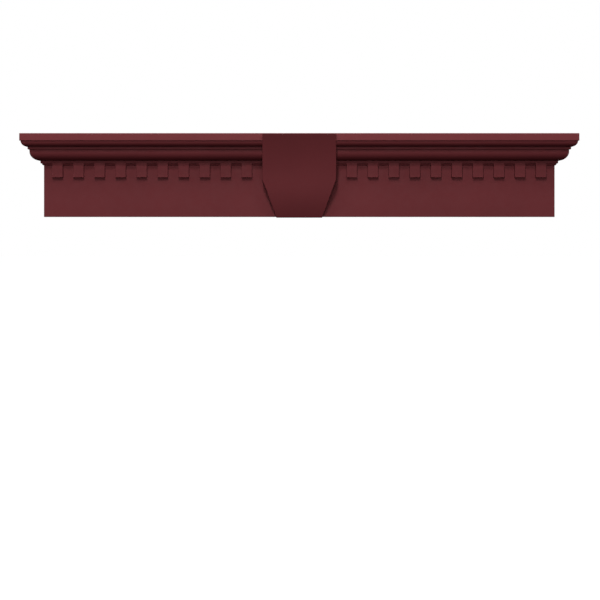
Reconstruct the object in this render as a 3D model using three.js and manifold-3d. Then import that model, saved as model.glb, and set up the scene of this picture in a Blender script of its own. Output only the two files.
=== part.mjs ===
import * as THREE from 'three';
import { mergeVertices } from 'three/addons/utils/BufferGeometryUtils.js';
import Module from 'manifold-3d';

// A moulded window header with a dentil course and a keystone, hung over a window.
// Millimetres. X runs along the header, Y into the wall and Z up; the wall's face is Y = 0.
// A depth is measured out from the wall, and a height up from the header's foot at the wall.

// The header's overall sizes
const HEADER_HEIGHT = 230;
const BODY_LENGTH = 1380.5;
const SHELL_WALL = 3;
const DRAFT_ANGLE = THREE.MathUtils.degToRad(2);

// The cornice, from the frieze's face outwards
const FRIEZE_DEPTH = 46.8;
const SMALL_OVOLO_RADIUS = 4.3;
const LOWER_LEDGE = 3.5;
const LARGE_OVOLO_RADIUS = 24.2;
const MIDDLE_LEDGE = 4.2;
const UPPER_OVOLO_RADIUS = 15.2;
const UPPER_LEDGE = 2.8;

// The cornice, from the top downwards
const FASCIA_HEIGHT = 19.6;
const UPPER_OVOLO_STRAIGHT = 0.8;
const UPPER_FILLET_HEIGHT = 6.8;
const LARGE_OVOLO_STRAIGHT = 6;
const LOWER_FILLET_HEIGHT = 7.2;
const SMALL_OVOLO_STRAIGHT = 1.2;

// The dentils, flush with the lower fillet above them
const DENTIL_WIDTH = 28.2;
const DENTIL_GAP = 28.5;
const DENTIL_HEIGHT = 38.2;
const DENTIL_END_MARGIN = 22;

// The webs across the hollow back
const WEB_THICKNESS = 3;
const DENTILS_BETWEEN_WEBS = 7;

// The keystone, a hollow cap that sits on the header's face
const KEYSTONE_WIDTH = 196.2;
const KEYSTONE_FOOT_WIDTH = 119.6;
const KEYSTONE_SHOULDER_DROP = 4.4;
const KEYSTONE_OVERHANG = 1.9;
const KEYSTONE_TOP_STAND = 10.5;
const KEYSTONE_FOOT_STAND = 5.7;
const KEYSTONE_TOP_LEAN = THREE.MathUtils.degToRad(20);
const KEYSTONE_FOOT_LEAN = THREE.MathUtils.degToRad(19);
const KEYSTONE_TOP_REACH = 0.56;
const KEYSTONE_FOOT_REACH = 0.4;
const KEYSTONE_WALL = 2.5;
const KEYSTONE_GAP = 0.4;

// How finely the curves are cut, how far a cutting solid passes what it cuts, how far the returned
// ends sit below the front so that no two edges cross in one point, and the grain of all places
const ARC_STEPS = 9;
const KEYSTONE_FACE_STEPS = 24;
const PASS = 20;
const MITRE_EASE = 0.03;
const GRAIN = 1e-4;

// Sizes that follow from those above
const SLOPE = Math.tan(DRAFT_ANGLE);
const DENTIL_DEPTH = FRIEZE_DEPTH + SMALL_OVOLO_RADIUS + LOWER_LEDGE;
const SLAB_DEPTH = DENTIL_DEPTH + LARGE_OVOLO_RADIUS + MIDDLE_LEDGE + UPPER_OVOLO_RADIUS + UPPER_LEDGE;
const FASCIA_TOP = HEADER_HEIGHT - SLAB_DEPTH * SLOPE;
const FRIEZE_FOOT = FRIEZE_DEPTH * SLOPE;
const LOWER_FILLET_FOOT = FASCIA_TOP - FASCIA_HEIGHT
  - UPPER_OVOLO_STRAIGHT - UPPER_OVOLO_RADIUS - UPPER_FILLET_HEIGHT
  - LARGE_OVOLO_STRAIGHT - LARGE_OVOLO_RADIUS - LOWER_FILLET_HEIGHT;
const DENTIL_FOOT = LOWER_FILLET_FOOT - DENTIL_HEIGHT;
const DENTIL_PITCH = DENTIL_WIDTH + DENTIL_GAP;
const PARTING_HEIGHT = FASCIA_TOP - FASCIA_HEIGHT / 2;

const ovolos = [
  {
    ledge: UPPER_LEDGE,
    straight: UPPER_OVOLO_STRAIGHT,
    radius: UPPER_OVOLO_RADIUS,
    fillet: UPPER_FILLET_HEIGHT,
  },
  {
    ledge: MIDDLE_LEDGE,
    straight: LARGE_OVOLO_STRAIGHT,
    radius: LARGE_OVOLO_RADIUS,
    fillet: LOWER_FILLET_HEIGHT,
  },
  {
    ledge: LOWER_LEDGE,
    straight: SMALL_OVOLO_STRAIGHT,
    radius: SMALL_OVOLO_RADIUS,
    fillet: 0,
  },
];

const wasm = await Module();
wasm.setup();

// A closed geometry as a solid that can be joined and cut
function solidOf(geometry) {
  geometry.deleteAttribute('normal');
  geometry.deleteAttribute('uv');
  const merged = mergeVertices(geometry, GRAIN);
  const places = merged.attributes.position.array;
  const mesh = new wasm.Mesh({
    numProp: 3,
    vertProperties: Float32Array.from(places, (place) => Math.round(place / GRAIN) * GRAIN),
    triVerts: new Uint32Array(merged.index.array),
  });
  return new wasm.Manifold(mesh);
}

// A solid back as a geometry with flat facets
function geometryOf(solid) {
  const mesh = solid.getMesh();
  const geometry = new THREE.BufferGeometry();
  geometry.setAttribute('position', new THREE.BufferAttribute(new Float32Array(mesh.vertProperties), 3));
  geometry.setIndex(new THREE.BufferAttribute(new Uint32Array(mesh.triVerts), 1));
  const faceted = geometry.toNonIndexed();
  faceted.computeVertexNormals();
  return faceted;
}

// A section of depths and heights, run along X between two places
function runAlongX(section, from, to) {
  const shape = new THREE.Shape(section.map(([depth, height]) => new THREE.Vector2(-depth, height)));
  const geometry = new THREE.ExtrudeGeometry(shape, { depth: to - from, bevelEnabled: false });
  const axes = new THREE.Matrix4().makeBasis(
    new THREE.Vector3(0, 1, 0),
    new THREE.Vector3(0, 0, 1),
    new THREE.Vector3(1, 0, 0),
  );
  geometry.applyMatrix4(axes);
  geometry.translate(from, 0, 0);
  return solidOf(geometry);
}

// An elevation of places along X and heights, run out from behind the wall's face, with mould
// draft: its sizes are true at the slab's face, and it widens towards the wall
function runOutward(elevation) {
  const shape = new THREE.Shape(elevation.map(([along, height]) => new THREE.Vector2(along, height)));
  const geometry = new THREE.ExtrudeGeometry(shape, { depth: SLAB_DEPTH + 2 * PASS, bevelEnabled: false });
  const axes = new THREE.Matrix4().makeBasis(
    new THREE.Vector3(1, 0, 0),
    new THREE.Vector3(0, 0, 1),
    new THREE.Vector3(0, -1, 0),
  );
  geometry.applyMatrix4(axes);
  geometry.translate(0, PASS, 0);
  const position = geometry.attributes.position;
  for (let i = 0; i < position.count; i += 1) {
    const spread = (SLAB_DEPTH + position.getY(i)) * SLOPE;
    const rise = position.getZ(i) > PARTING_HEIGHT ? spread : -spread;
    position.setX(i, position.getX(i) + Math.sign(position.getX(i)) * spread);
    position.setZ(i, position.getZ(i) + rise);
  }
  return solidOf(geometry);
}

// The moulding's line from the fascia's foot down to the frieze, moved into the material by an inset
function mouldingLine(inset) {
  const line = [];
  let depth = SLAB_DEPTH;
  let height = FASCIA_TOP - FASCIA_HEIGHT;
  for (const { ledge, straight, radius, fillet } of ovolos) {
    line.push([depth - inset, height + inset]);
    line.push([depth - ledge - inset, height + inset]);
    depth -= ledge + radius;
    height -= straight;
    for (let step = 0; step <= ARC_STEPS; step += 1) {
      const turn = (step / ARC_STEPS) * Math.PI / 2;
      line.push([depth + (radius - inset) * Math.cos(turn), height - (radius - inset) * Math.sin(turn)]);
    }
    height -= radius + fillet;
    line.push([depth - inset, height + fillet + inset]);
  }
  const isNew = ([d, h], i) => i === 0 || Math.hypot(d - line[i - 1][0], h - line[i - 1][1]) > GRAIN;
  return line.filter(isNew);
}

// The whole section across the header, down to the wall
function headerSection(inset, backDepth) {
  return [
    [backDepth, HEADER_HEIGHT - backDepth * SLOPE - inset],
    [SLAB_DEPTH - inset, FASCIA_TOP + inset * SLOPE - inset],
    ...mouldingLine(inset),
    [FRIEZE_DEPTH - inset, FRIEZE_FOOT - inset * SLOPE + inset],
    [backDepth, backDepth * SLOPE + inset],
  ];
}

// The same moulding returned at both ends, mitred square: each member stands out of the body's end as
// far as it stands out of the frieze's face
function headerElevation(inset) {
  const end = [
    [SLAB_DEPTH - inset, HEADER_HEIGHT + PASS],
    ...mouldingLine(inset),
    [FRIEZE_DEPTH - inset, -PASS],
  ];
  const right = end.map(([depth, height]) => {
    const draft = (SLAB_DEPTH - depth) * SLOPE;
    return [BODY_LENGTH / 2 + depth - FRIEZE_DEPTH - draft, height + draft - MITRE_EASE];
  });
  const left = right.map(([along, height]) => [-along, height]).reverse();
  return [...right, ...left];
}

function headerBlock(inset, backDepth) {
  const reach = BODY_LENGTH / 2 + SLAB_DEPTH + PASS;
  const moulding = runAlongX(headerSection(inset, backDepth), -reach, reach);
  return moulding.intersect(runOutward(headerElevation(inset)));
}

// One dentil, or with an inset the core behind it, from a depth inside the frieze's wall
function dentilBlock(along, inset, backDepth) {
  const topHeight = LOWER_FILLET_FOOT + LOWER_FILLET_HEIGHT / 2;
  const footAt = (depth) => DENTIL_FOOT + inset - (DENTIL_DEPTH - depth) * SLOPE;
  const section = [
    [backDepth, topHeight],
    [DENTIL_DEPTH - inset, topHeight],
    [DENTIL_DEPTH - inset, footAt(DENTIL_DEPTH - inset)],
    [backDepth, footAt(backDepth)],
  ];
  const halfWidth = DENTIL_WIDTH / 2 - inset;
  return runAlongX(section, along - halfWidth, along + halfWidth);
}

function dentilPlaces() {
  const room = BODY_LENGTH / 2 - DENTIL_END_MARGIN - DENTIL_WIDTH / 2;
  const perSide = Math.floor(room / DENTIL_PITCH + 0.5);
  const places = [];
  for (let count = -perSide; count < perSide; count += 1) {
    places.push((count + 0.5) * DENTIL_PITCH);
  }
  return places;
}

// A web across the hollow every few dentils, in the gaps between them
function webBlocks() {
  const spacing = DENTILS_BETWEEN_WEBS * DENTIL_PITCH;
  const perSide = Math.floor((BODY_LENGTH / 2 - SHELL_WALL - WEB_THICKNESS) / spacing);
  const section = [
    [-PASS, -PASS],
    [-PASS, HEADER_HEIGHT + PASS],
    [SLAB_DEPTH + PASS, HEADER_HEIGHT + PASS],
    [SLAB_DEPTH + PASS, -PASS],
  ];
  const webs = [];
  for (let count = -perSide; count <= perSide; count += 1) {
    const along = count * spacing;
    webs.push(runAlongX(section, along - WEB_THICKNESS / 2, along + WEB_THICKNESS / 2));
  }
  return webs;
}

function makeHeader() {
  let block = headerBlock(0, 0);
  let hollow = headerBlock(SHELL_WALL, -PASS);
  for (const along of dentilPlaces()) {
    block = block.add(dentilBlock(along, 0, FRIEZE_DEPTH - SHELL_WALL / 2));
    hollow = hollow.add(dentilBlock(along, SHELL_WALL, FRIEZE_DEPTH - SHELL_WALL * 2));
  }
  for (const web of webBlocks()) {
    hollow = hollow.subtract(web);
  }
  return block.subtract(hollow);
}

// The keystone's outline seen from the front: upright sides down to the shoulders, then a taper
function keystoneOutline(inset) {
  const foot = FRIEZE_FOOT - KEYSTONE_OVERHANG + (SLAB_DEPTH - FRIEZE_DEPTH) * SLOPE;
  const shoulder = DENTIL_FOOT - KEYSTONE_SHOULDER_DROP;
  const taper = Math.atan2((KEYSTONE_WIDTH - KEYSTONE_FOOT_WIDTH) / 2, shoulder - foot);
  const halfWidth = KEYSTONE_WIDTH / 2 - inset;
  const halfFoot = KEYSTONE_FOOT_WIDTH / 2 - inset / Math.cos(taper) + inset * Math.tan(taper);
  const insetShoulder = shoulder + inset * Math.tan(taper / 2);
  const right = [[halfWidth, FASCIA_TOP - inset], [halfWidth, insetShoulder], [halfFoot, foot + inset]];
  const left = right.map(([along, height]) => [-along, height]).reverse();
  return [...right, ...left];
}

// The keystone's face seen from the side: an easy double curve from over the slab in to the frieze
function keystoneFace(inset) {
  const foot = FRIEZE_FOOT - KEYSTONE_OVERHANG;
  const tall = FASCIA_TOP - foot;
  const topDepth = SLAB_DEPTH + KEYSTONE_TOP_STAND;
  const footDepth = FRIEZE_DEPTH + KEYSTONE_FOOT_STAND;
  const topHandle = tall * KEYSTONE_TOP_REACH;
  const footHandle = tall * KEYSTONE_FOOT_REACH;
  const curve = new THREE.CubicBezierCurve(
    new THREE.Vector2(topDepth, FASCIA_TOP),
    new THREE.Vector2(topDepth - topHandle * Math.tan(KEYSTONE_TOP_LEAN), FASCIA_TOP - topHandle),
    new THREE.Vector2(footDepth + footHandle * Math.tan(KEYSTONE_FOOT_LEAN), foot + footHandle),
    new THREE.Vector2(footDepth, foot),
  );
  const face = [];
  for (let step = 0; step <= KEYSTONE_FACE_STEPS; step += 1) {
    const point = curve.getPoint(step / KEYSTONE_FACE_STEPS);
    const tangent = curve.getTangent(step / KEYSTONE_FACE_STEPS);
    face.push([point.x + tangent.y * inset, point.y - tangent.x * inset]);
  }
  return face;
}

function keystoneBlock(inset) {
  const face = keystoneFace(inset);
  const [topDepth] = face[0];
  const [footDepth] = face[face.length - 1];
  const section = [
    [0, HEADER_HEIGHT + PASS],
    [topDepth, HEADER_HEIGHT + PASS],
    ...face,
    [footDepth, -PASS],
    [0, -PASS],
  ];
  const reach = KEYSTONE_WIDTH / 2 + PASS;
  return runAlongX(section, -reach, reach).intersect(runOutward(keystoneOutline(inset)));
}

// What the keystone's rim is scribed to: the moulding and the dentils' face, with the fitting gap
function scribeBlock() {
  const dentilRoom = [
    [DENTIL_DEPTH + KEYSTONE_GAP, LOWER_FILLET_FOOT + LOWER_FILLET_HEIGHT / 2],
    [DENTIL_DEPTH + KEYSTONE_GAP, DENTIL_FOOT - KEYSTONE_GAP],
    [FRIEZE_DEPTH + KEYSTONE_GAP, DENTIL_FOOT - KEYSTONE_GAP],
  ];
  const cornice = mouldingLine(-KEYSTONE_GAP).filter(([, height]) => height > dentilRoom[0][1]);
  const section = [
    [-PASS, HEADER_HEIGHT + PASS],
    [SLAB_DEPTH + KEYSTONE_GAP, HEADER_HEIGHT + PASS],
    ...cornice,
    ...dentilRoom,
    [FRIEZE_DEPTH + KEYSTONE_GAP, -PASS],
    [-PASS, -PASS],
  ];
  const reach = KEYSTONE_WIDTH / 2 + PASS;
  return runAlongX(section, -reach, reach);
}

function makeKeystone() {
  return keystoneBlock(0).subtract(scribeBlock()).subtract(keystoneBlock(KEYSTONE_WALL));
}

// A node: a named mesh in the satin wine red, set with the wall's face behind its mid-height
function node(name, solid) {
  const material = new THREE.MeshStandardMaterial({ color: 0x5f2b30, roughness: 0.5, metalness: 0 });
  const mesh = new THREE.Mesh(geometryOf(solid), material);
  mesh.name = name;
  mesh.position.z = -HEADER_HEIGHT / 2;
  return mesh;
}

const windowHeader = new THREE.Group();
windowHeader.add(node('header', makeHeader()));
windowHeader.add(node('keystone', makeKeystone()));

export default windowHeader;
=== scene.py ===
"""The looks of a moulded window header with a dentil course and a keystone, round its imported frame.

Metres. X runs along the header, Y into the wall and Z up; the wall's face is Y = 0. A depth is
measured out from the wall, and a height up from the header's foot at the wall.
"""

import math

import bmesh
import bpy
import numpy as np
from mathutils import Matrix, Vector


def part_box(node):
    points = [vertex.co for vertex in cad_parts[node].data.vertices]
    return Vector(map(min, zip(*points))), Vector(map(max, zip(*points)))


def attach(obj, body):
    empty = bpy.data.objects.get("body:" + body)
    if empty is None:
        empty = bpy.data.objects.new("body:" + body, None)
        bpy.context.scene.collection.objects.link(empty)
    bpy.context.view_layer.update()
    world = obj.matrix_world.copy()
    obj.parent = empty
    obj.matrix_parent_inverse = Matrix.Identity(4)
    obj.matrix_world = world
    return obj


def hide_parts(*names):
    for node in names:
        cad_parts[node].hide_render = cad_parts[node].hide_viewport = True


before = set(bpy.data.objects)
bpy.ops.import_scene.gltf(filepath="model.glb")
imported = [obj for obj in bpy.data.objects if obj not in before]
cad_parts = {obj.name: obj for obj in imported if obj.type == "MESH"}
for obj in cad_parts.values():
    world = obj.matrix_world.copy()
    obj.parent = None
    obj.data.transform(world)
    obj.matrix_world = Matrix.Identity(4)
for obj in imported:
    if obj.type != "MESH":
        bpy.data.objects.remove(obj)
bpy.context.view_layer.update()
header_low, header_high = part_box("header")

# The header's overall sizes, its mould's draft and where its mitres start
HEADER_HEIGHT = header_high.z - header_low.z
SLAB_DEPTH = -header_low.y
MOULD_DRAFT = math.radians(2)
SLOPE = math.tan(MOULD_DRAFT)
MITRE_START = header_high.x - SLAB_DEPTH * (1 + SLOPE)
SHELL_WALL = 0.003

# The cornice, from the frieze's face outwards
FRIEZE_DEPTH = 0.0468
SMALL_OVOLO_RADIUS = 0.0043
LOWER_LEDGE = 0.0035
LARGE_OVOLO_RADIUS = 0.0242
MIDDLE_LEDGE = 0.0042
UPPER_OVOLO_RADIUS = 0.0152
UPPER_LEDGE = 0.0028

# The cornice, from the top downwards
FASCIA_HEIGHT = 0.0196
UPPER_OVOLO_STRAIGHT = 0.0008
UPPER_FILLET_HEIGHT = 0.0068
LARGE_OVOLO_STRAIGHT = 0.006
LOWER_FILLET_HEIGHT = 0.0072
SMALL_OVOLO_STRAIGHT = 0.0012

# The dentils, and the webs across the hollow back
DENTIL_WIDTH = 0.0282
DENTIL_PITCH = 0.0567
DENTIL_HEIGHT = 0.0382
DENTILS_A_SIDE = 12
WEB_THICKNESS = 0.003
WEB_FLARE = 0.0006
DENTILS_BETWEEN_WEBS = 7
WEBS_A_SIDE = 1

# The keystone
KEYSTONE_WIDTH = 0.1962
KEYSTONE_FOOT_WIDTH = 0.1196
KEYSTONE_SHOULDER_DROP = 0.0044
KEYSTONE_OVERHANG = 0.0019
KEYSTONE_TOP_STAND = 0.0105
KEYSTONE_FOOT_STAND = 0.0057
KEYSTONE_TOP_LEAN = math.radians(20)
KEYSTONE_FOOT_LEAN = math.radians(19)
KEYSTONE_TOP_REACH = 0.56
KEYSTONE_FOOT_REACH = 0.4
KEYSTONE_WALL = 0.0025
KEYSTONE_GAP = 0.0004

# How round the edges are, outside and inside the shell
ARRIS_RADIUS = 0.0009
INNER_ARRIS_RADIUS = 0.0004
CORNER_RADIUS = 0.0012
KEYSTONE_ARRIS_RADIUS = 0.0014

# How finely the curves are cut, and how the meshes are merged and shaded
ARRIS_STEPS = 3
CORNER_STEPS = 4
OVOLO_STEPS = (14, 18, 6)
CURVE_STEPS = 200
KEYSTONE_COLUMNS = 9
KEYSTONE_ROW = 0.006
FOOT_ROW = 0.0004
SIDE_PASSES = 4
MERGE = 1e-6
SHARP_ANGLE = math.radians(40)

# Sizes that follow from those above
DENTIL_DEPTH = FRIEZE_DEPTH + SMALL_OVOLO_RADIUS + LOWER_LEDGE
FASCIA_TOP = HEADER_HEIGHT - SLAB_DEPTH * SLOPE
FRIEZE_FOOT = FRIEZE_DEPTH * SLOPE
LOWER_FILLET_FOOT = (
    FASCIA_TOP - FASCIA_HEIGHT - UPPER_OVOLO_STRAIGHT - UPPER_OVOLO_RADIUS - UPPER_FILLET_HEIGHT
    - LARGE_OVOLO_STRAIGHT - LARGE_OVOLO_RADIUS - LOWER_FILLET_HEIGHT
)
DENTIL_FOOT = LOWER_FILLET_FOOT - DENTIL_HEIGHT
PARTING_HEIGHT = FASCIA_TOP - FASCIA_HEIGHT / 2

# Each ovolo from the top: its ledge, straight stretch, radius, the fillet under it and its steps
OVOLOS = (
    (UPPER_LEDGE, UPPER_OVOLO_STRAIGHT, UPPER_OVOLO_RADIUS, UPPER_FILLET_HEIGHT, OVOLO_STEPS[0]),
    (MIDDLE_LEDGE, LARGE_OVOLO_STRAIGHT, LARGE_OVOLO_RADIUS, LOWER_FILLET_HEIGHT, OVOLO_STEPS[1]),
    (LOWER_LEDGE, SMALL_OVOLO_STRAIGHT, SMALL_OVOLO_RADIUS, 0.0, OVOLO_STEPS[2]),
)


def round_corner(before, corner, after, radius):
    """The points of an arc that rounds the corner between two straight stretches."""
    corner = Vector(corner)
    back = (Vector(before) - corner).normalized()
    on = (Vector(after) - corner).normalized()
    half = back.angle(on) / 2
    centre = corner + (back + on).normalized() * (radius / math.sin(half))
    first = corner + back * (radius / math.tan(half)) - centre
    last = corner + on * (radius / math.tan(half)) - centre
    turn = first.angle(last)
    points = []
    for step in range(ARRIS_STEPS + 1):
        share = step / ARRIS_STEPS
        spoke = first * math.sin((1 - share) * turn) + last * math.sin(share * turn)
        points.append(tuple(centre + spoke / math.sin(turn)))
    return points


def soften(path):
    """A path of (point, radius) as plain points, with each corner that has a radius rounded."""
    points = []
    for i, (point, radius) in enumerate(path):
        if radius:
            points += round_corner(path[i - 1][0], point, path[i + 1][0], radius)
        else:
            points.append(tuple(point))
    return points


def moulding_path(inset, arris):
    """The section from the top at the wall, over the cornice, to the small ovolo's foot."""
    path = [
        ((0.0, HEADER_HEIGHT - inset), 0),
        ((SLAB_DEPTH - inset, FASCIA_TOP + inset * SLOPE - inset), arris),
    ]
    depth, height = SLAB_DEPTH, FASCIA_TOP - FASCIA_HEIGHT
    for ledge, straight, radius, fillet, steps in OVOLOS:
        path.append(((depth - inset, height + inset), arris))
        path.append(((depth - ledge - inset, height + inset), 0))
        depth -= ledge + radius
        height -= straight
        for step in range(steps + 1):
            turn = step / steps * math.pi / 2
            spoke = radius - inset
            path.append(((depth + spoke * math.cos(turn), height - spoke * math.sin(turn)), 0))
        height -= radius + fillet
        path.append(((depth - inset, height + fillet + inset), 0))
    return path


def header_rows(inset, arris):
    """Two sections across the header, matched row by row: a plain one, and one through a dentil
    or the core behind it. Each row is a depth and a height."""
    plain = soften(moulding_path(inset, arris))
    face = DENTIL_DEPTH - inset
    wall = FRIEZE_DEPTH - inset
    start = LOWER_FILLET_FOOT + inset + arris
    first = next(i for i, (_, height) in enumerate(plain) if height < start + MERGE)
    foot = DENTIL_FOOT + inset
    root = foot - (face - wall) * SLOPE
    dentil_foot = soften([((face, start), 0), ((face, foot), arris), ((wall, root), 0)])[1:]
    frieze_line = [(wall, root + (len(dentil_foot) - 1 - i) * FOOT_ROW) for i in range(len(dentil_foot))]

    run = np.array(plain[first:] + frieze_line[:1])
    lengths = np.concatenate([[0], np.cumsum(np.hypot(*np.diff(run, axis=0).T))])
    shares = lengths[:-1] / lengths[-1]
    dentil_face = [(face, start + (dentil_foot[0][1] - start) * share) for share in shares]

    end = soften([
        ((wall, root), 0),
        ((wall, FRIEZE_FOOT - inset * SLOPE + inset), arris),
        ((0.0, inset), 0),
    ])[1:]
    return np.array(plain + frieze_line + end), np.array(plain[:first] + dentil_face + dentil_foot + end)


def front_columns(inset, arris):
    """The places along the front, each with its share of the way out to the dentil section and
    its share of the way back to a web's edge."""
    lift = DENTIL_DEPTH - FRIEZE_DEPTH
    columns = []
    for count in range(-DENTILS_A_SIDE, DENTILS_A_SIDE):
        centre = (count + 0.5) * DENTIL_PITCH
        half = DENTIL_WIDTH / 2 - inset
        plan = soften([
            ((centre - half - lift * SLOPE, 0.0), 0),
            ((centre - half, lift), arris),
            ((centre + half, lift), arris),
            ((centre + half + lift * SLOPE, 0.0), 0),
        ])
        columns += [(along, out / lift, 0.0) for along, out in plan]
    for count in range(-WEBS_A_SIDE, WEBS_A_SIDE + 1):
        centre = count * DENTILS_BETWEEN_WEBS * DENTIL_PITCH
        half = WEB_THICKNESS / 2
        backs = ((-half - WEB_FLARE, 0.0), (-half, 1.0), (half, 1.0), (half + WEB_FLARE, 0.0))
        columns += [(centre + offset, 0.0, back) for offset, back in backs]
    return sorted(columns)


def web_rows(plain):
    """The rows of a web's back edge, in the wall's face, matched to the rows of the section."""
    lengths = np.concatenate([[0], np.cumsum(np.hypot(*np.diff(plain, axis=0).T))])
    heights = plain[0, 1] + (plain[-1, 1] - plain[0, 1]) * lengths / lengths[-1]
    return np.column_stack([np.zeros(len(plain)), heights])


def end_stations(plain, corner_radius):
    """The mitred corner and the returned end on the right, as columns of x, depth and height."""
    depth, height = plain[:, 0], plain[:, 1]
    radius = np.minimum(corner_radius, depth)
    rise = np.where(height > PARTING_HEIGHT, SLOPE, -SLOPE)
    stations = []
    for step in range(CORNER_STEPS + 1):
        turn = step / CORNER_STEPS * math.pi / 2
        back = radius * (1 - math.cos(turn))
        along = MITRE_START + depth - radius * (1 - math.sin(turn)) + back * SLOPE
        stations.append(np.column_stack([along, depth - back, height + back * rise]))
    along = MITRE_START + depth + depth * SLOPE
    stations.append(np.column_stack([along, np.zeros(len(depth)), height + depth * rise]))
    return stations


def header_grid(inset, arris, corner_radius, webbed):
    """The outer or the inner skin of the header, as rows and columns of x, depth and height."""
    plain, raised = header_rows(inset, arris)
    edge = web_rows(plain)
    front = []
    for along, out, back in front_columns(inset, arris):
        section = plain + out * (raised - plain)
        if webbed:
            section = section + back * (edge - section)
        front.append(np.column_stack([np.full(len(plain), along), section]))
    right = end_stations(plain, corner_radius)
    left = [station * (-1, 1, 1) for station in reversed(right)]
    grid = np.stack(left + front + right, axis=1)
    # The first and last rows lie in the wall's face, straight behind the rows next to them
    for row, neighbour, height in ((0, 1, plain[0, 1]), (-1, -2, plain[-1, 1])):
        grid[row, :, 0] = grid[neighbour, :, 0]
        grid[row, :, 1] = 0
        grid[row, :, 2] = height
    return grid


def rim_of(numbers):
    """The numbers of the vertices round the edge of a grid, in order."""
    return np.concatenate([numbers[0], numbers[1:, -1], numbers[-1, -2::-1], numbers[-2:0:-1, 0]])


def grid_faces(numbers):
    """The four-cornered faces between a grid's rows and columns."""
    corners = (numbers[:-1, :-1], numbers[1:, :-1], numbers[1:, 1:], numbers[:-1, 1:])
    return np.stack(corners, axis=-1).reshape(-1, 4).tolist()


def ring_faces(first, second):
    """The band of faces between two loops of the same length."""
    corners = (first, np.roll(first, -1), np.roll(second, -1), second)
    return np.stack(corners, axis=-1).tolist()


def make_piece(name, places, faces):
    """A closed mesh from places given as x, depth and height."""
    mesh = bpy.data.meshes.new(name)
    points = np.column_stack([places[:, 0], -places[:, 1], places[:, 2] - HEADER_HEIGHT / 2])
    mesh.from_pydata(points.tolist(), [], faces)
    shape = bmesh.new()
    shape.from_mesh(mesh)
    bmesh.ops.remove_doubles(shape, verts=shape.verts, dist=MERGE)
    bmesh.ops.dissolve_degenerate(shape, edges=shape.edges, dist=MERGE)
    bmesh.ops.recalc_face_normals(shape, faces=shape.faces)
    shape.to_mesh(mesh)
    shape.free()
    mesh.shade_smooth()
    mesh.set_sharp_from_angle(angle=SHARP_ANGLE)
    piece = bpy.data.objects.new(name, mesh)
    bpy.context.scene.collection.objects.link(piece)
    weighting = piece.modifiers.new("even_normals", "WEIGHTED_NORMAL")
    weighting.keep_sharp = True
    return piece


def make_header():
    """The header: an outer skin and a webbed inner one, joined along their rims."""
    outer = header_grid(0.0, ARRIS_RADIUS, CORNER_RADIUS, webbed=False)
    inner = header_grid(SHELL_WALL, INNER_ARRIS_RADIUS, INNER_ARRIS_RADIUS, webbed=True)
    count = outer.shape[0] * outer.shape[1]
    outer_numbers = np.arange(count).reshape(outer.shape[:2])
    inner_numbers = outer_numbers + count
    faces = grid_faces(outer_numbers) + grid_faces(inner_numbers[:, ::-1])
    faces += ring_faces(rim_of(outer_numbers), rim_of(inner_numbers))
    places = np.concatenate([outer.reshape(-1, 3), inner.reshape(-1, 3)])
    return make_piece("header_shell", places, faces)


def keystone_curve(inset):
    """The keystone's face from the side, top first, as depths and heights."""
    foot = FRIEZE_FOOT - KEYSTONE_OVERHANG
    tall = FASCIA_TOP - foot
    top_depth = SLAB_DEPTH + KEYSTONE_TOP_STAND
    foot_depth = FRIEZE_DEPTH + KEYSTONE_FOOT_STAND
    top_handle = tall * KEYSTONE_TOP_REACH
    foot_handle = tall * KEYSTONE_FOOT_REACH
    handles = np.array([
        (top_depth, FASCIA_TOP),
        (top_depth - top_handle * math.tan(KEYSTONE_TOP_LEAN), FASCIA_TOP - top_handle),
        (foot_depth + foot_handle * math.tan(KEYSTONE_FOOT_LEAN), foot + foot_handle),
        (foot_depth, foot),
    ])
    share = np.linspace(0, 1, CURVE_STEPS + 1)[:, None]
    rest = 1 - share
    points = (rest**3 * handles[0] + 3 * rest**2 * share * handles[1]
              + 3 * rest * share**2 * handles[2] + share**3 * handles[3])
    tangent = np.gradient(points, axis=0)
    tangent /= np.hypot(*tangent.T)[:, None]
    return points + inset * np.column_stack([tangent[:, 1], -tangent[:, 0]])


def keystone_corners(spread, inset):
    """The right half of the keystone's outline, spread by the mould's draft and inset by a wall:
    its top corner, shoulder and foot corner, as places along X and heights."""
    foot = FRIEZE_FOOT - KEYSTONE_OVERHANG + (SLAB_DEPTH - FRIEZE_DEPTH) * SLOPE
    shoulder = DENTIL_FOOT - KEYSTONE_SHOULDER_DROP
    half, half_foot = KEYSTONE_WIDTH / 2, KEYSTONE_FOOT_WIDTH / 2
    taper = math.atan2(half - half_foot, shoulder - foot)
    foot_inset = inset / math.cos(taper) - inset * math.tan(taper)
    return (
        np.column_stack([half - inset + spread, FASCIA_TOP - inset + spread]),
        np.column_stack([half - inset + spread, shoulder + inset * math.tan(taper / 2) - spread]),
        np.column_stack([half_foot - foot_inset + spread, foot + inset - spread]),
    )


def side_places(shares, depths, inset):
    """Places on the keystone's right side: a share runs from 0 at the top corner to 1 at the
    shoulder and 2 at the foot."""
    top, shoulder, foot = keystone_corners((SLAB_DEPTH - depths) * SLOPE, inset)
    upper = np.clip(shares, 0, 1)[:, None]
    lower = np.clip(shares - 1, 0, 1)[:, None]
    along = np.where(lower > 0, shoulder + lower * (foot - shoulder), top + upper * (shoulder - top))
    return np.column_stack([along[:, 0], depths, along[:, 1]])


def side_shares(depths, heights, inset):
    """The shares at which the keystone's side meets these depths and heights."""
    top, shoulder, foot = keystone_corners((SLAB_DEPTH - depths) * SLOPE, inset)
    upper = (top[:, 1] - heights) / (top[:, 1] - shoulder[:, 1])
    lower = 1 + (shoulder[:, 1] - heights) / (shoulder[:, 1] - foot[:, 1])
    shares = np.clip(np.where(upper < 1, upper, lower), 0, 2)
    return np.maximum.accumulate(shares)


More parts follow.
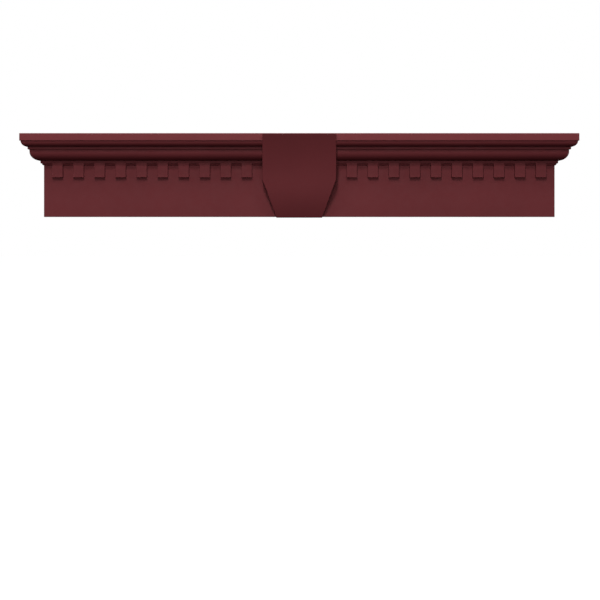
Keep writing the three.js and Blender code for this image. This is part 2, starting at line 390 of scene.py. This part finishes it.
def scribe_rows():
    """What the keystone's rim follows: the moulding and the dentils' face, a gap away."""
    path = [point for point, _ in moulding_path(-KEYSTONE_GAP, 0)[1:]]
    cornice = [(depth, height) for depth, height in path if height > LOWER_FILLET_FOOT]
    # The last row lies below the keystone's foot, so that the rim runs on to the foot's corner
    below_foot = FRIEZE_FOOT - 2 * KEYSTONE_OVERHANG
    rows = cornice + [
        (DENTIL_DEPTH + KEYSTONE_GAP, DENTIL_FOOT - KEYSTONE_GAP),
        (FRIEZE_DEPTH + KEYSTONE_GAP, DENTIL_FOOT - KEYSTONE_GAP),
        (FRIEZE_DEPTH + KEYSTONE_GAP, below_foot),
    ]
    fine = []
    for start, stop in zip(rows, rows[1:]):
        pieces = max(1, math.ceil(abs(start[1] - stop[1]) / KEYSTONE_ROW))
        for piece in range(pieces):
            fine.append(np.array(start) + (np.array(stop) - start) * piece / pieces)
    return np.array(fine + [rows[-1]])


def face_depths(places, curve, sink):
    """How far out the keystone's face lies at the heights of these places, less a sink."""
    return np.interp(places[:, 2], curve[::-1, 1], curve[::-1, 0]) - sink


def keystone_loop(side, shares_of_width):
    """A loop round the keystone from the places on its right side: across the top, down the right,
    back across the foot and up the left."""
    left = side * (-1, 1, 1)
    across = np.array(shares_of_width[1:-1])[:, None]
    top = left[0] + across * (side[0] - left[0])
    foot = side[-1] + across * (left[-1] - side[-1])
    return np.concatenate([left[:1], top, side, foot, left[:0:-1]])


def keystone_skin(rows, wall, sinks_and_insets, curve):
    """The loops of one skin, from the scribed rim to the face, and the grid that fills the face.
    The mould's draft sets the side out by its depth, and where it meets the face sets that depth,
    so a few passes bring the two together."""
    shares_of_width = np.linspace(0, 1, KEYSTONE_COLUMNS)
    shares = side_shares(rows[:, 0], rows[:, 1], wall)
    loops = [keystone_loop(side_places(shares, rows[:, 0], wall), shares_of_width)]
    for sink, inset in sinks_and_insets:
        side = side_places(shares, rows[:, 0], wall + inset)
        for _ in range(SIDE_PASSES):
            side = side_places(shares, face_depths(side, curve, sink), wall + inset)
        loops.append(keystone_loop(side, shares_of_width))
    left = side * (-1, 1, 1)
    grid = left[:, None] + shares_of_width[None, :, None] * (side - left)[:, None]
    return loops, grid


def skin_mesh(loops, grid, start):
    """The vertices and faces of one skin, with the numbers of its rim."""
    places = [np.concatenate(loops), grid.reshape(-1, 3)]
    count = len(loops[0])
    in_loops = len(loops) * count
    in_grid = grid.shape[0] * grid.shape[1]
    rings = start + np.arange(in_loops).reshape(len(loops), count)
    numbers = start + in_loops + np.arange(in_grid).reshape(grid.shape[:2])
    faces = grid_faces(numbers)
    for first, second in zip(rings, rings[1:]):
        faces += ring_faces(first, second)
    return np.concatenate(places), faces, rings[0]


def make_keystone():
    """The keystone: two skins, both scribed to the moulding and joined along their rims."""
    rows = scribe_rows()
    turns = [step / (ARRIS_STEPS + 1) * math.pi / 2 for step in range(ARRIS_STEPS + 2)]
    rounding = [
        (KEYSTONE_ARRIS_RADIUS * (1 - math.sin(turn)), KEYSTONE_ARRIS_RADIUS * (1 - math.cos(turn)))
        for turn in turns
    ]
    outer_loops, outer_grid = keystone_skin(rows, 0.0, rounding, keystone_curve(0.0))
    inner_curve = keystone_curve(KEYSTONE_WALL)
    inner_loops, inner_grid = keystone_skin(rows, KEYSTONE_WALL, [(0.0, 0.0)], inner_curve)
    outer, faces, outer_rim = skin_mesh(outer_loops, outer_grid, 0)
    inner, inner_faces, inner_rim = skin_mesh(inner_loops, inner_grid, len(outer))
    faces += [face[::-1] for face in inner_faces] + ring_faces(outer_rim, inner_rim)
    return make_piece("keystone_cap", np.concatenate([outer, inner]), faces)


header_shell = make_header()
keystone_cap = make_keystone()
for piece, node in ((header_shell, "header"), (keystone_cap, "keystone")):
    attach(piece, "root")
    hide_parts(node)


# The finish: plastic coloured all through, with the fine texture and faint unevenness of a moulding
BODY_RED = (0.118, 0.0168, 0.0204, 1)
BODY_RED_DEEP = (0.108, 0.0151, 0.0184, 1)
PLASTIC_IOR = 1.49
SPECULAR_LEVEL = 0.22
ROUGHNESS_RANGE = (0.66, 0.76)
NOISE_RANGE = (0.3, 0.7)
TEXTURE_GRAIN = 1400.0
TEXTURE_DETAIL = 2.0
TEXTURE_DEPTH = 0.00003
FLOW_SCALE = 55.0
FLOW_DETAIL = 2.0
FLOW_DEPTH = 0.00006
SHEEN_DETAIL = 3.0
CLOUD_SCALE = 7.0
CLOUD_DETAIL = 4.0


def noise(tree, coordinates, scale, detail):
    node = tree.nodes.new("ShaderNodeTexNoise")
    node.inputs["Scale"].default_value = scale
    node.inputs["Detail"].default_value = detail
    tree.links.new(coordinates, node.inputs["Vector"])
    return node.outputs["Fac"]


def mapped(tree, value, results):
    """A noise's usual range, stretched to a range of results."""
    node = tree.nodes.new("ShaderNodeMapRange")
    node.inputs["From Min"].default_value, node.inputs["From Max"].default_value = NOISE_RANGE
    node.inputs["To Min"].default_value, node.inputs["To Max"].default_value = results
    tree.links.new(value, node.inputs["Value"])
    return node.outputs["Result"]


def bump(tree, height, distance, normal=None):
    """A normal that follows a height, on top of another normal if there is one."""
    node = tree.nodes.new("ShaderNodeBump")
    node.inputs["Distance"].default_value = distance
    tree.links.new(height, node.inputs["Height"])
    if normal is not None:
        tree.links.new(normal, node.inputs["Normal"])
    return node.outputs["Normal"]


def copolymer():
    """The plastic, with slow clouds in its red, an uneven sheen and a fine grain."""
    material = bpy.data.materials.new("wine_red_copolymer")
    material.use_nodes = True
    tree = material.node_tree
    shader = tree.nodes["Principled BSDF"]
    coordinates = tree.nodes.new("ShaderNodeTexCoord").outputs["Object"]
    clouds = noise(tree, coordinates, CLOUD_SCALE, CLOUD_DETAIL)
    mix = tree.nodes.new("ShaderNodeMix")
    mix.data_type = "RGBA"
    mix.inputs["A"].default_value = BODY_RED_DEEP
    mix.inputs["B"].default_value = BODY_RED
    tree.links.new(mapped(tree, clouds, (0.0, 1.0)), mix.inputs["Factor"])
    tree.links.new(mix.outputs["Result"], shader.inputs["Base Color"])
    sheen = noise(tree, coordinates, FLOW_SCALE, SHEEN_DETAIL)
    tree.links.new(mapped(tree, sheen, ROUGHNESS_RANGE), shader.inputs["Roughness"])
    flow = bump(tree, noise(tree, coordinates, FLOW_SCALE, FLOW_DETAIL), FLOW_DEPTH)
    grain = bump(tree, noise(tree, coordinates, TEXTURE_GRAIN, TEXTURE_DETAIL), TEXTURE_DEPTH, flow)
    tree.links.new(grain, shader.inputs["Normal"])
    shader.inputs["IOR"].default_value = PLASTIC_IOR
    shader.inputs["Specular IOR Level"].default_value = SPECULAR_LEVEL
    return material


finish = copolymer()
header_shell.data.materials.append(finish)
keystone_cap.data.materials.append(finish)

# The studio: a pale floor well below, as under a window's head, and a white room
FLOOR_DROP = 2.2
FLOOR_SIZE = 60.0
FLOOR_COLOUR = (0.9, 0.9, 0.9, 1)
FLOOR_ROUGHNESS = 0.8
FLOOR_GLOW = 1.0
WHITE = (1, 1, 1, 1)
ROOM_GLOW = 1.0
floor_mesh = bpy.data.meshes.new("floor")
half_floor = FLOOR_SIZE / 2
floor_corners = [(x * half_floor, y * half_floor, 0) for x, y in ((-1, -1), (1, -1), (1, 1), (-1, 1))]
floor_mesh.from_pydata(floor_corners, [], [(0, 1, 2, 3)])
floor = bpy.data.objects.new("floor", floor_mesh)
floor.location.z = header_low.z - FLOOR_DROP
bpy.context.scene.collection.objects.link(floor)
floor_material = bpy.data.materials.new("pale_floor")
floor_material.use_nodes = True
floor_shader = floor_material.node_tree.nodes["Principled BSDF"]
floor_shader.inputs["Base Color"].default_value = FLOOR_COLOUR
floor_shader.inputs["Roughness"].default_value = FLOOR_ROUGHNESS
floor_shader.inputs["Emission Color"].default_value = WHITE
floor_shader.inputs["Emission Strength"].default_value = FLOOR_GLOW
floor_mesh.materials.append(floor_material)
floor.visible_diffuse = False
floor.visible_glossy = False

world = bpy.data.worlds.new("white_room")
bpy.context.scene.world = world
world.use_nodes = True
background = world.node_tree.nodes["Background"]
background.inputs["Color"].default_value = WHITE
background.inputs["Strength"].default_value = ROOM_GLOW
world.cycles_visibility.diffuse = False
world.cycles_visibility.glossy = False


def add_light(name, place, power, size):
    """A softbox that looks at the header's middle."""
    data = bpy.data.lights.new(name, "AREA")
    data.energy = power
    data.shape = "RECTANGLE"
    data.size, data.size_y = size
    light = bpy.data.objects.new(name, data)
    light.location = place
    light.rotation_euler = (-Vector(place)).to_track_quat("-Z", "Y").to_euler()
    bpy.context.scene.collection.objects.link(light)


# Each softbox's name, place, power, and width and height; the last three show the ends and the back
STUDIO_LIGHTS = (
    ("high_key", (-0.4, -2.70, 3.22), 80, (0.5, 0.5)),
    ("low_key", (-0.5, -3.30, 2.60), 38, (0.5, 0.5)),
    ("front", (0.0, -5.0, 0.8), 94, (3.2, 2.0)),
    ("back_strip", (0.0, -1.4, 3.0), 65, (3.4, 0.6)),
    ("top_strip", (0.0, -0.55, 3.1), 165, (3.4, 0.4)),
    ("left_end", (-3.2, 0.4, 0.6), 60, (1.6, 1.6)),
    ("right_end", (3.2, 0.4, 0.6), 60, (1.6, 1.6)),
    ("behind", (-0.8, 3.6, 1.2), 130, (3.2, 2.0)),
)
for light_name, place, power, light_size in STUDIO_LIGHTS:
    add_light(light_name, place, power, light_size)

# The camera stands where the photograph's did, straight in front, and its film is shifted down
CAMERA_DISTANCE = 3.236
CAMERA_HEIGHT = 0.0006
FRAME_PIXELS = 600
FOCAL_PIXELS = 1180.0
HORIZON_ROW = 174.85
CENTRE_COLUMN = 299.3
SENSOR = 36.0
VIEW_REACH = 100
camera_data = bpy.data.cameras.new("camera")
camera_data.sensor_width = SENSOR
camera_data.lens = FOCAL_PIXELS / FRAME_PIXELS * SENSOR
camera_data.shift_x = (FRAME_PIXELS / 2 - CENTRE_COLUMN) / FRAME_PIXELS
camera_data.shift_y = -(FRAME_PIXELS / 2 - HORIZON_ROW) / FRAME_PIXELS
camera_data.clip_end = VIEW_REACH
camera = bpy.data.objects.new("camera", camera_data)
camera.location = (0, -CAMERA_DISTANCE, CAMERA_HEIGHT)
camera.rotation_euler = (math.pi / 2, 0, 0)
bpy.context.scene.collection.objects.link(camera)
bpy.context.scene.camera = camera
bpy.context.scene.view_settings.view_transform = "Standard"
